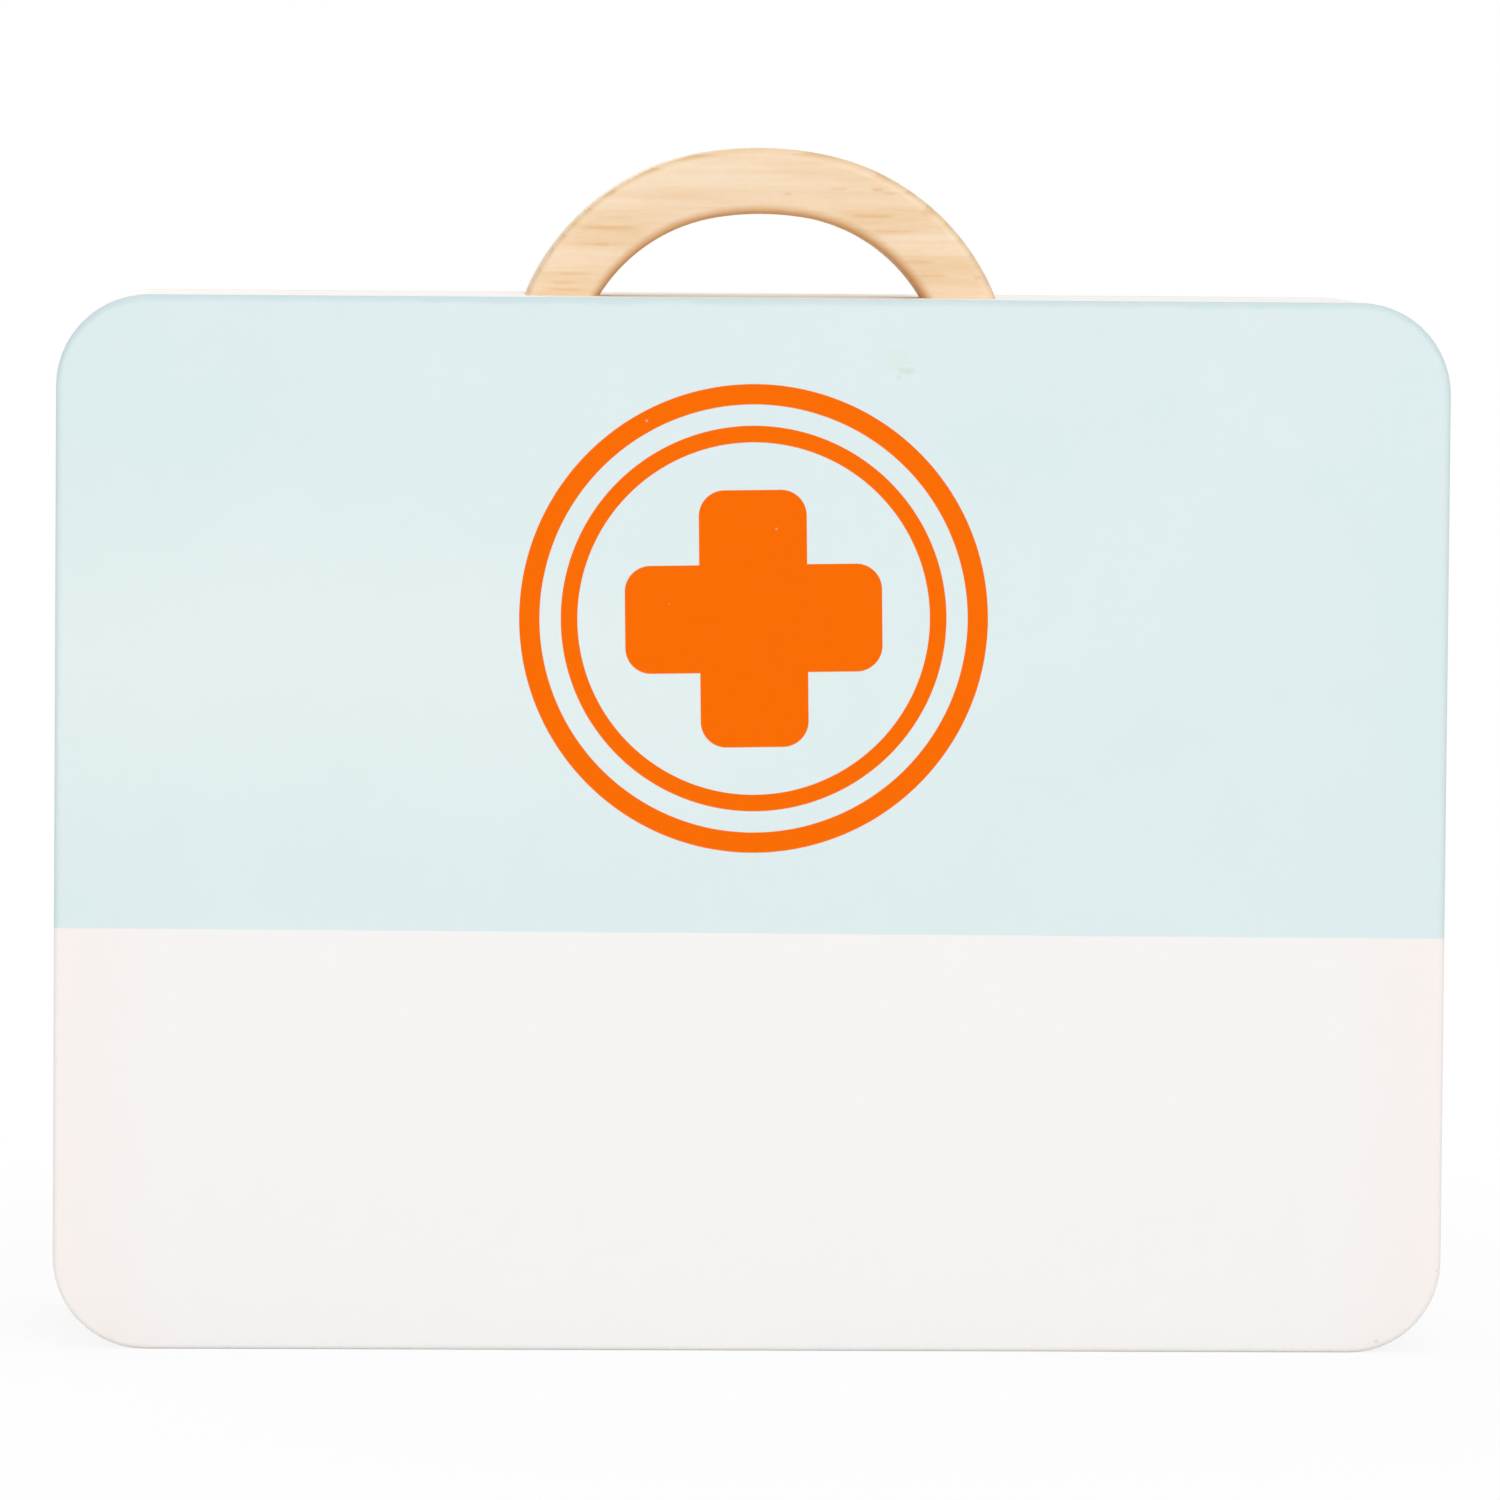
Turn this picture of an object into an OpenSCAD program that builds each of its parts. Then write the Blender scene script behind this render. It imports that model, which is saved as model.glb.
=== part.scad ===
// Toy doctor case: a deep wooden tray with a hinged front lid and an arched handle.
// X runs across the front, Y from the lid to the back panel, Z up from the floor.

/* [Case] */
// Width of the front lid
case_w = 280; // [230:1:340]
// Height of the front lid
case_h = 212; // [160:1:260]
// Depth over the lid and the back panel
case_d = 80; // [60:1:110]
// Radius of the four corners of the front lid
corner_r = 18.5; // [14:0.5:26]
// How far the lid stands proud of the tray at the top and the sides
lid_reveal = 0.3; // [0.1:0.1:1]
// Round-over of the outer edges of the lid and the back panel
edge_round = 1.2; // [0.5:0.1:2]

/* [Boards] */
// Thickness of the front lid
lid_t = 6; // [5:0.5:9]
// Thickness of the back panel
back_t = 5; // [4:0.5:8]
// Thickness of the four boards of the rim
rail_t = 10; // [9:0.5:14]
// Fingers in each corner joint of the rim, an odd number
finger_count = 7; // [5:2:11]
// Gap between the closed lid and the rim
lid_gap = 0.4; // [0.3:0.1:0.8]
// Radius of the finger scoop in the top board
scoop_r = 20; // [15:1:30]
// Depth of the finger scoop
scoop_depth = 6; // [4:0.5:8]

/* [Handle] */
// Height of the handle over the top board
handle_rise = 30.3; // [28:0.1:40]
// Width of the handle seen from the front
handle_w = 13.4; // [12:0.1:16]
// Thickness of the handle from front to back
handle_t = 18; // [14:0.5:24]
// Outer radius of the crown of the arch
crown_r = 68; // [60:0.5:90]
// Outer radius of the two shoulders of the arch
shoulder_r = 48; // [44:0.5:56]
// Half of the angle that the crown spans
crown_angle = 10; // [5:0.5:20]
// Round-over of the handle's long edges
handle_round = 2; // [1:0.1:4]
// How far the handle stands to the right of the middle
handle_shift = 2.4; // [-5:0.1:5]

/* [Hinges] */
// Length of one hinge
hinge_len = 30; // [24:1:40]
// Distance of each hinge's middle from the middle of the case
hinge_x = 85; // [50:1:100]
// Width of a leaf from the pin's axis to its edge
leaf_w = 7.2; // [6.5:0.1:7.6]
// Thickness of a leaf
leaf_t = 1; // [0.8:0.1:1.2]
// Outer radius of the barrel
barrel_r = 1.8; // [1.6:0.1:2]
// Radius of the hinge pin
pin_r = 0.9; // [0.7:0.05:1]
// Height of the pin's axis over the floor
pin_z = 2.3; // [2.2:0.1:2.8]
// Knuckles in a barrel, an odd number
knuckle_count = 5; // [3:2:7]

/* [Catch] */
// Radius of a disc magnet
magnet_r = 3; // [2:0.5:3.5]
// Thickness of a disc magnet
magnet_t = 3; // [2:0.5:3.5]
// Distance of each magnet from the middle of the case
magnet_x = 88; // [50:1:100]

/* [Screws] */
// Shank radius of a handle screw
handle_screw_r = 1.75; // [1.5:0.05:2]
// Length of a handle screw
handle_screw_len = 21; // [18:0.5:22]
// Distance of each handle screw from the inner edge of the handle's foot
handle_screw_inset = 4.2; // [3.5:0.1:4.5]
// Distance of each handle screw from the middle of the handle's thickness
handle_screw_y = 4.5; // [3.5:0.5:5]
// Shank radius of a hinge screw
hinge_screw_r = 1; // [0.8:0.1:1.1]
// Length of a hinge screw in the tray
body_screw_len = 10; // [7:0.5:14]
// Length of a hinge screw in the lid
lid_screw_len = 4.5; // [4:0.5:5]

/* [Fits] */
// Radial clearance of a moving knuckle on its pin
pin_clearance = 0.05; // [0.02:0.01:0.1]
// Gap between neighbouring knuckles
knuckle_gap = 0.2; // [0.1:0.05:0.4]
// Clearance of a hinge leaf in its mortise
leaf_clearance = 0.1; // [0.05:0.05:0.2]
// Room between a barrel and the wood round it
barrel_room = 0.4; // [0.3:0.1:0.6]
// Radial clearance of a magnet in its bore
magnet_clearance = 0.05; // [0.02:0.01:0.1]
// Radial clearance of a screw in its hole
screw_clearance = 0.05; // [0.02:0.01:0.1]

/* [Hidden] */
$fn = 96;
past = 1; // how far a cutting shape runs past the face that it cuts

lid_front = -case_d / 2;
lid_back = lid_front + lid_t;
rim_front = lid_back + lid_gap;
pin_y = lid_back + lid_gap / 2;
rim_back = case_d / 2 - back_t;
rim_d = rim_back - rim_front;
body_w = case_w - 2 * lid_reveal;
body_h = case_h - lid_reveal;
body_r = corner_r - lid_reveal;
finger_w = rim_d / finger_count;
handle_y = (rim_front + case_d / 2) / 2;
shoulder_x = (crown_r - shoulder_r) * sin(crown_angle);
shoulder_z = handle_rise - crown_r + (crown_r - shoulder_r) * cos(crown_angle);
foot_x = shoulder_x + sqrt(pow(shoulder_r - handle_w, 2) - pow(shoulder_z, 2));
handle_screw_x = foot_x + handle_screw_inset;
magnet_z = body_h - rail_t / 2;
knuckle_len = (hinge_len - (knuckle_count - 1) * knuckle_gap) / knuckle_count;
knuckle_pitch = knuckle_len + knuckle_gap;
leaf_screw_x = hinge_len / 3;
leaf_screw_z = pin_z + (barrel_r + leaf_w) / 2;
inner_round = 0.5; // easing of the inner edges of the lid and the back panel
crown_overrun = 1; // degrees that the crown runs past the middle before it is cut there
head_flare = 2; // a countersunk head is this many times as wide as its shank

wood_white = [0.95, 0.94, 0.92];
lid_aqua = [0.87, 0.93, 0.93];
pine = [0.94, 0.82, 0.66];
brass = [0.8, 0.66, 0.36];
steel = [0.72, 0.73, 0.75];

// Stands a shape drawn flat on the XY plane upright, with its thickness running from y to the front.
module upright(y) {
    translate([0, y, 0]) rotate([90, 0, 0]) children();
}

// Runs a profile drawn in Y and Z along X, centred, over the given length.
module along_x(length) {
    rotate([90, 0, 90]) translate([0, 0, -length / 2]) linear_extrude(length) children();
}

// A disc or bore along Y, with its near face at y.
module disc_y(r, length, y) {
    translate([0, y, 0]) rotate([-90, 0, 0]) cylinder(r = r, h = length);
}

// Outline with four round corners, standing on the X axis.
module rounded_outline(w, h, r) {
    translate([r - w / 2, 0]) square([w - 2 * r, h]);
    translate([-w / 2, r]) square([w, h - 2 * r]);
    for (x = [r - w / 2, w / 2 - r], y = [r, h - r]) translate([x, y]) circle(r);
}

// Section of a panel's border, from the start of its corner radius outwards.
// Its outer edge is rounded by front at the top and by back at the bottom.
module border_section(r, t, front, back) {
    square([r - front, t]);
    translate([0, back]) square([r, t - front - back]);
    square([r - back, back]);
    translate([r - front, t - front]) circle(front);
    translate([r - back, back]) circle(back);
}

// Flat panel with round corners and rounded edges, made as a frame maker would:
// a flat field, four straight borders and four turned corners with one section.
module eased_panel(w, h, r, t, front, back) {
    field_w = w - 2 * r;
    field_h = h - 2 * r;
    translate([-field_w / 2, r, 0]) cube([field_w, field_h, t]);
    for (turn = [0, 2]) {
        translate([0, h / 2, 0]) rotate([0, 0, 90 * turn]) {
            translate([field_w / 2, field_h / 2, 0])
                rotate([90, 0, 0]) linear_extrude(field_h) border_section(r, t, front, back);
            rotate([0, 0, 90]) translate([field_h / 2, field_w / 2, 0])
                rotate([90, 0, 0]) linear_extrude(field_w) border_section(r, t, front, back);
            for (side = [0, 1])
                translate([(side == 0 ? 1 : -1) * field_w / 2, field_h / 2, 0])
                    rotate([0, 0, 90 * side]) rotate_extrude(angle = 90)
                        border_section(r, t, front, back);
        }
    }
}

// Wedge below the pin, sloping away from the parting plane, cut from the rim (side 1) or the lid (side -1).
// The two slopes meet when the lid is open at a right angle, and stop it there.
module heel_slope(side) {
    face = side > 0 ? rim_front : lid_back;
    along_x(case_w + 2 * past) polygon([
        [face - side * past, pin_z + past],
        [face - side * past, -past],
        [face + side * (pin_z + past), -past]
    ]);
}

// Room for the leaf and the barrel of one hinge, on the side given as for heel_slope.
module hinge_room(side) {
    face = side > 0 ? rim_front : lid_back;
    length = hinge_len + 2 * leaf_clearance;
    translate([-length / 2, side > 0 ? face - past : face - leaf_t, pin_z])
        cube([length, leaf_t + past, leaf_w + leaf_clearance]);
    translate([0, pin_y, pin_z]) rotate([0, 90, 0])
        cylinder(r = barrel_r + barrel_room, h = length, center = true);
}

// The two screws of one leaf, on the side given as for heel_slope, or their holes with extra.
module leaf_screws(side, length, extra = 0) {
    for (x = [-leaf_screw_x, leaf_screw_x])
        translate([x, side > 0 ? rim_front : lid_back, leaf_screw_z])
            rotate([side > 0 ? -90 : 90, 0, 0]) wood_screw(hinge_screw_r, length, extra);
}

// Countersunk wood screw along Z, its flat head at z = 0 and its tip upwards.
// extra widens it all over, to make its hole.
module wood_screw(r, length, extra = 0) {
    head_r = r * head_flare;
    rotate_extrude() polygon([
        [0, -extra], [head_r + extra, -extra], [head_r + extra, 0], [r + extra, head_r - r],
        [r + extra, length - r], [extra, length + extra], [0, length + extra]
    ]);
}

// The children at both hinges.
module at_hinges() {
    for (side = [-1, 1]) translate([side * hinge_x, 0, 0]) children();
}

// The children at both magnets.
module at_magnets() {
    for (side = [-1, 1]) translate([side * magnet_x, 0, magnet_z]) children();
}

// The children at the four handle screws, with z = 0 on the inner face of the top board.
module at_handle_screws() {
    for (x = [-handle_screw_x, handle_screw_x], y = [-handle_screw_y, handle_screw_y])
        translate([handle_shift + x, handle_y + y, body_h - rail_t]) children();
}

// Front lid: one painted board over the whole front.
module front_lid() {
    color(lid_aqua) difference() {
        upright(lid_back) eased_panel(case_w, case_h, corner_r, lid_t, edge_round, inner_round);
        heel_slope(-1);
        at_hinges() {
            hinge_room(-1);
            leaf_screws(-1, lid_screw_len, screw_clearance);
        }
        at_magnets() disc_y(magnet_r + magnet_clearance, magnet_t + past, lid_back - magnet_t);
    }
}

// Back panel: glued flat on the back edges of the rim.
module back_panel() {
    color(wood_white) upright(case_d / 2) mirror([0, 0, 1]) translate([0, 0, -back_t])
        eased_panel(body_w, body_h, body_r, back_t, edge_round, inner_round);
}

// The rim's outer shape, cut to the block of one board.
module rim_board(low, size) {
    intersection() {
        upright(rim_back) linear_extrude(rim_d) rounded_outline(body_w, body_h, body_r);
        translate(low) cube(size);
    }
}

// The corner blocks that one board leaves to its neighbours: every second finger, from first.
// over_x and over_z carry the cut through the board's own thickness.
module finger_gaps(first, over_x, over_z) {
    for (i = [first:2:finger_count - 1], side = [-1, 1], top = [0, 1])
        translate([
            side > 0 ? body_w / 2 - rail_t - over_x : -body_w / 2 - past,
            rim_front + i * finger_w,
            top > 0 ? body_h - rail_t - over_z : -past
        ])
            cube([rail_t + past + over_x, finger_w, rail_t + past + over_z]);
}

module lying_rail(z) {
    difference() {
        rim_board([-body_w / 2, rim_front, z], [body_w, rim_d, rail_t]);
        finger_gaps(1, 0, past);
    }
}

module standing_rail(x) {
    difference() {
        rim_board([x, rim_front, 0], [rail_t, rim_d, body_h]);
        finger_gaps(0, past, 0);
    }
}

// Top board: holds the handle's screws, the magnets and the finger scoop.
module top_rail() {
    color(wood_white) difference() {
        lying_rail(body_h - rail_t);
        translate([0, rim_front + scoop_depth - scoop_r, body_h - rail_t - past])
            cylinder(r = scoop_r, h = rail_t + 2 * past);
        at_handle_screws() wood_screw(handle_screw_r, handle_screw_len, screw_clearance);
        at_magnets() disc_y(magnet_r + magnet_clearance, magnet_t + past, rim_front - past);
    }
}

// Bottom board: the case stands on it, and the hinges are let into its front edge.
module bottom_rail() {
    color(wood_white) difference() {
        lying_rail(0);
        heel_slope(1);
        at_hinges() {
            hinge_room(1);
            leaf_screws(1, body_screw_len, screw_clearance);
        }
    }
}

module left_rail() {
    color(wood_white) standing_rail(-body_w / 2);
}

module right_rail() {
    color(wood_white) standing_rail(body_w / 2 - rail_t);
}

// Section of the handle, from its inner to its outer side, with rounded corners.
module handle_section() {
    r = handle_round;
    translate([r, -handle_t / 2]) square([handle_w - 2 * r, handle_t]);
    translate([0, r - handle_t / 2]) square([handle_w, handle_t - 2 * r]);
    for (x = [r, handle_w - r], y = [r - handle_t / 2, handle_t / 2 - r])
        translate([x, y]) circle(r, $fn = 48);
}

// A stretch of the arch with outer radius r, turned through the given angle from the X axis.
module arch_stretch(r, angle) {
    rotate_extrude(angle = angle, $fn = 180) translate([r - handle_w, 0]) handle_section();
}

// The right half of the arch, flat on the XY plane with the crown's centre at the origin:
// half the crown and one shoulder, which meet on the joint's own radius.
module half_arch() {
    intersection() {
        rotate([0, 0, 90 - crown_angle]) {
            arch_stretch(crown_r, crown_angle + crown_overrun);
            translate([crown_r - shoulder_r, 0, 0]) mirror([0, 1, 0])
                arch_stretch(shoulder_r, 90 - crown_angle);
        }
        translate([0, -crown_r, -handle_t]) cube([2 * crown_r, 3 * crown_r, 2 * handle_t]);
    }
}

// Carrying handle: an arch struck from three centres, cut flat where it stands on the top board.
module carry_handle() {
    color(pine) difference() {
        translate([handle_shift, handle_y, body_h + handle_rise - crown_r]) rotate([90, 0, 0]) {
            half_arch();
            mirror([1, 0, 0]) half_arch();
        }
        translate([handle_shift - crown_r, handle_y - handle_t, body_h - crown_r])
            cube([2 * crown_r, 2 * handle_t, crown_r]);
        at_handle_screws() wood_screw(handle_screw_r, handle_screw_len, screw_clearance);
    }
}

module handle_screws() {
    color(steel) at_handle_screws() wood_screw(handle_screw_r, handle_screw_len);
}

module body_magnets() {
    color(steel) at_magnets() disc_y(magnet_r, magnet_t, rim_front);
}

module lid_magnets() {
    color(steel) at_magnets() disc_y(magnet_r, magnet_t, lid_back - magnet_t);
}

// Every second knuckle from first, as solid rods, or the room round them with gap and room.
module knuckles(first, gap = 0, room = 0) {
    for (i = [first:2:knuckle_count - 1])
        translate([i * knuckle_pitch - hinge_len / 2 - gap, pin_y, pin_z]) rotate([0, 90, 0])
            cylinder(r = barrel_r + room, h = knuckle_len + 2 * gap);
}

// One hinge leaf with its share of the knuckles, the holes for its screws and the bore for the pin.
// The tray's leaf (side 1) has the outer knuckles and holds the pin; the lid's (side -1) turns on it.
module hinge_leaf(side) {
    first = side > 0 ? 0 : 1;
    face = side > 0 ? rim_front : lid_back;
    bore_r = side > 0 ? pin_r : pin_r + pin_clearance;
    difference() {
        union() {
            difference() {
                translate([-hinge_len / 2, side > 0 ? face : face - leaf_t, pin_z])
                    cube([hinge_len, leaf_t, leaf_w]);
                knuckles(1 - first, knuckle_gap, barrel_room);
            }
            knuckles(first);
        }
        translate([0, pin_y, pin_z]) rotate([0, 90, 0])
            cylinder(r = bore_r, h = hinge_len + 2 * past, center = true);
        leaf_screws(side, lid_screw_len, screw_clearance);
    }
}

module hinge_pin() {
    translate([0, pin_y, pin_z]) rotate([0, 90, 0])
        cylinder(r = pin_r, h = hinge_len, center = true);
}

module left_hinge_body_leaf() {
    color(brass) translate([-hinge_x, 0, 0]) hinge_leaf(1);
}

module left_hinge_lid_leaf() {
    color(brass) translate([-hinge_x, 0, 0]) hinge_leaf(-1);
}

module left_hinge_pin() {
    color(steel) translate([-hinge_x, 0, 0]) hinge_pin();
}

module right_hinge_body_leaf() {
    color(brass) translate([hinge_x, 0, 0]) hinge_leaf(1);
}

module right_hinge_lid_leaf() {
    color(brass) translate([hinge_x, 0, 0]) hinge_leaf(-1);
}

module right_hinge_pin() {
    color(steel) translate([hinge_x, 0, 0]) hinge_pin();
}

module hinge_body_screws() {
    color(brass) at_hinges() leaf_screws(1, body_screw_len);
}

module hinge_lid_screws() {
    color(brass) at_hinges() leaf_screws(-1, lid_screw_len);
}

front_lid();
back_panel();
top_rail();
bottom_rail();
left_rail();
right_rail();
carry_handle();
handle_screws();
body_magnets();
lid_magnets();
left_hinge_body_leaf();
left_hinge_lid_leaf();
left_hinge_pin();
right_hinge_body_leaf();
right_hinge_lid_leaf();
right_hinge_pin();
hinge_body_screws();
hinge_lid_screws();
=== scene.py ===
# %% [markdown]
# # A wooden play case for a young doctor
#
# The case is a shallow wooden tray that stands upright, with a painted lid over its whole front
# and an arched pine handle on top. Its solids come from the CAD model, already in place, in
# metres: X runs across the front, Y from the lid to the back and Z up from the floor. This lesson
# gives them their paint, wood and metal, makes the screws with their cross recesses, and lights
# and frames the case.

# %% Load the case
import math

import bmesh
import bpy
from mathutils import Matrix, Vector


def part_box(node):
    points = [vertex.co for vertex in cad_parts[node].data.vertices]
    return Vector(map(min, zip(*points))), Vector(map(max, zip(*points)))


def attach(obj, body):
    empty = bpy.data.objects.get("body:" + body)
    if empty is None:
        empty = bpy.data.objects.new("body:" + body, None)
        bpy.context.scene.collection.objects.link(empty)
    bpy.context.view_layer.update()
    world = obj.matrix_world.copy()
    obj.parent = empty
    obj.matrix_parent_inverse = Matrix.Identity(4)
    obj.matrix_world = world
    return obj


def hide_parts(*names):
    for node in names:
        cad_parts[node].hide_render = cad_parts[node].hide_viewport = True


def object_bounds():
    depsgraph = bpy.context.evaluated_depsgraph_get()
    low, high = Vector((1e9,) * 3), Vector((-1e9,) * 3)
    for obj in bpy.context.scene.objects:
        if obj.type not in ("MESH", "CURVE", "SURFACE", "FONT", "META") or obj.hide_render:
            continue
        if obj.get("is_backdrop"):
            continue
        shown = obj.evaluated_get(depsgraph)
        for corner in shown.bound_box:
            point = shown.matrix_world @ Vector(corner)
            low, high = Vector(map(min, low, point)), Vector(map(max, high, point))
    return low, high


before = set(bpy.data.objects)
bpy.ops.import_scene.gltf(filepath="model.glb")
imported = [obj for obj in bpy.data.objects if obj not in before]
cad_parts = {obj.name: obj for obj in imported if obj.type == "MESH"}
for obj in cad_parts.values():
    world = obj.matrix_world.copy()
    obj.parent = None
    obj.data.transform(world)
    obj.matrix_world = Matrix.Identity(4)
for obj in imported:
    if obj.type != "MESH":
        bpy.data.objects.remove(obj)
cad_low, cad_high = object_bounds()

MM = 0.001
size = (cad_high - cad_low) / MM
print("parts:", ", ".join(sorted(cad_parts)))
print(f"the case measures {size.x:.1f} x {size.y:.1f} x {size.z:.1f} mm")

# %% [markdown]
# ## The sizes that the finishes need
#
# Prints, seams and end grain have their places on the boards, so their sizes are read from the
# parts instead of being written down twice. A CAD part's object sits at the origin, and its box
# says where the part is. All the pattern work below is done in millimetres, which suit a paint
# edge or a growth ring better than metres.

# %% Measure the boards in millimetres
def box_mm(node):
    """Lowest and highest corner of a part, in millimetres."""
    low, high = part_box(node)
    return low / MM, high / MM


lid_low, lid_high = box_mm("front_lid")
left_low, left_high = box_mm("left_rail")
top_low, _ = box_mm("top_rail")
handle_low, handle_high = box_mm("carry_handle")

FINGERS = 7
board_t = left_high.x - left_low.x
side_x = -left_low.x
rim_front, rim_back = left_low.y, left_high.y
finger_w = (rim_back - rim_front) / FINGERS
print(f"rim boards {board_t:.1f} mm thick, with fingers {finger_w:.1f} mm wide")
print(f"the lid's front lies at y {lid_low.y:.1f} mm")

# %% [markdown]
# ## Shader maths as plain sums
#
# A procedural finish is mostly arithmetic on a place in space. Written as node calls it is hard
# to read, so one small class wraps a shader socket and lets Python's own operators add the Math
# nodes. Every other node comes from one method, which sets the node's settings first and then its
# sockets.

# %% A socket that can be used in sums
class Field:
    """A value that changes over a surface: a shader socket that works in sums."""

    def __init__(self, tree, socket=None):
        self.tree = tree
        self.socket = socket

    def node(self, kind, settings, values, output=0):
        """Adds a node of a kind, with its settings and its sockets' values or links."""
        made = self.tree.nodes.new(kind)
        for key, value in settings.items():
            setattr(made, key, value)
        for name, value in values.items():
            if isinstance(value, Field):
                self.tree.links.new(value.socket, made.inputs[name])
            else:
                made.inputs[name].default_value = value
        return Field(self.tree, made.outputs[output])

    def output(self, name):
        """Another output of the node that this field comes from."""
        return Field(self.tree, self.socket.node.outputs[name])

    def maths(self, operation, *values):
        return self.node("ShaderNodeMath", {"operation": operation}, dict(enumerate(values)))

    def __add__(self, other):
        return self.maths("ADD", self, other)

    def __radd__(self, other):
        return self.maths("ADD", other, self)

    def __sub__(self, other):
        return self.maths("SUBTRACT", self, other)

    def __rsub__(self, other):
        return self.maths("SUBTRACT", other, self)

    def __mul__(self, other):
        return self.maths("MULTIPLY", self, other)

    def __rmul__(self, other):
        return self.maths("MULTIPLY", other, self)

    def __truediv__(self, other):
        return self.maths("DIVIDE", self, other)

    def __rtruediv__(self, other):
        return self.maths("DIVIDE", other, self)

    def __abs__(self):
        return self.maths("ABSOLUTE", self)

    def most(self, other):
        """The greater of the two."""
        return self.maths("MAXIMUM", self, other)

    def least(self, other):
        """The smaller of the two."""
        return self.maths("MINIMUM", self, other)

    def root(self):
        return self.maths("SQRT", self)

    def above(self, edge, soft):
        """0 below the edge and 1 above it, changing smoothly over soft on either side."""
        values = {"Value": self, "From Min": edge - soft, "From Max": edge + soft}
        return self.node("ShaderNodeMapRange", {"interpolation_type": "SMOOTHSTEP"}, values)

    def below(self, edge, soft):
        """1 below the edge and 0 above it."""
        return 1 - self.above(edge, soft)


print("a field can be added, subtracted, multiplied and divided, also by plain numbers")

# %% [markdown]
# ## Places, lumps and colours
#
# A few helpers carry every finish: the place on the part in millimetres and the way that its
# surface faces, a noise whose lumps have a size in millimetres and can be stretched along the
# grain, a mix of two colours, and a bump with a depth in millimetres. Colours are written as they
# are seen on a screen, from 0 to 255, and turned into the linear values that a shader wants.

# %% Helpers for patterns and colours
def seen(red, green, blue):
    """A linear colour from the values that a screen shows."""
    def linear(value):
        share = value / 255
        return share / 12.92 if share <= 0.04045 else ((share + 0.055) / 1.055) ** 2.4
    return linear(red), linear(green), linear(blue), 1.0


def new_finish(name, **constants):
    """A material with one shader, its constant sockets set, and a field to grow patterns from."""
    material = bpy.data.materials.new(name)
    material.use_nodes = True
    shader = material.node_tree.nodes["Principled BSDF"]
    for socket, value in constants.items():
        shader.inputs[socket.replace("_", " ")].default_value = value
    return material, Field(material.node_tree)


def wire(material, **fields):
    """Links fields to the sockets of a material's shader."""
    shader = material.node_tree.nodes["Principled BSDF"]
    for socket, field in fields.items():
        material.node_tree.links.new(field.socket, shader.inputs[socket.replace("_", " ")])


def place_mm(start):
    """The place on the part in millimetres, whole and split into x, y and z."""
    metres = start.node("ShaderNodeTexCoord", {}, {}, "Object")
    whole = start.node("ShaderNodeVectorMath", {"operation": "SCALE"}, {0: metres, "Scale": 1 / MM})
    x = start.node("ShaderNodeSeparateXYZ", {}, {0: whole}, "X")
    return whole, x, x.output("Y"), x.output("Z")


def facing(start):
    """How far the surface faces along x, y and z, from -1 to 1."""
    normal = start.node("ShaderNodeTexCoord", {}, {}, "Normal")
    x = start.node("ShaderNodeSeparateXYZ", {}, {0: normal}, "X")
    return x, x.output("Y"), x.output("Z")


def lumps(where, across, along=(1, 1, 1), detail=2.0, seed=0.0):
    """Noise from 0 to 1 in lumps about so many mm across, longer by the factors in along."""
    stretched = [1 / (across * factor) for factor in along]
    scaled = where.node("ShaderNodeVectorMath", {"operation": "MULTIPLY_ADD"},
                        {0: where, 1: stretched, 2: (seed, 2 * seed, 3 * seed)})
    return where.node("ShaderNodeTexNoise", {"noise_dimensions": "3D"},
                      {"Vector": scaled, "Scale": 1.0, "Detail": detail, "Roughness": 0.55}, "Fac")


def mixed(share, first, second):
    """The first colour where share is 0 and the second where it is 1."""
    return share.node("ShaderNodeMix", {"data_type": "RGBA"}, {0: share, 6: first, 7: second}, 2)


def relief(height, depth_mm):
    """A bump whose height field from 0 to 1 stands for a depth in millimetres."""
    values = {"Strength": 1.0, "Distance": depth_mm * MM, "Height": height}
    return height.node("ShaderNodeBump", {}, values)


print("off-white as a shader sees it:", [round(value, 3) for value in seen(247, 244, 241)])

# %% [markdown]
# ## The printed lid
#
# The lid is a board painted off-white, with a pale aqua field printed over its upper part and an
# emblem on it: a plus inside two rings. On the real toy this is a screen print, thin and dead
# flat, with edges about a tenth of a millimetre soft. An image could carry it, but worked out
# from distances it stays sharp at any size: a ring is a band of distance from its centre, and an
# arm of the plus is the distance to a rectangle with round corners. Each colour has its own
# screen, and none lies quite square on the board, so the plus is turned by a degree and the
# colour line falls a little to the right.

# %% Distances for the emblem
EMBLEM_Z = 147.8
RINGS = [(35.4, 38.75), (43.0, 47.1)]
PLUS_SPAN, PLUS_ARM, PLUS_ROUND = 51.7, 21.7, 5.2
PLUS_TURN = math.radians(1.0)
PRINT_SOFT = 0.09


def ring(distance, inner, outer):
    """How far a place lies inside the band between two radii, in millimetres."""
    return (outer - inner) / 2 - abs(distance - (inner + outer) / 2)


def round_bar(across, up, length, width, corner):
    """How far a place lies inside a bar with round corners, in millimetres."""
    x = across - (length / 2 - corner)
    z = up - (width / 2 - corner)
    outside = (x.most(0) * x.most(0) + z.most(0) * z.most(0)).root()
    return corner - outside - x.most(z).least(0)


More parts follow.
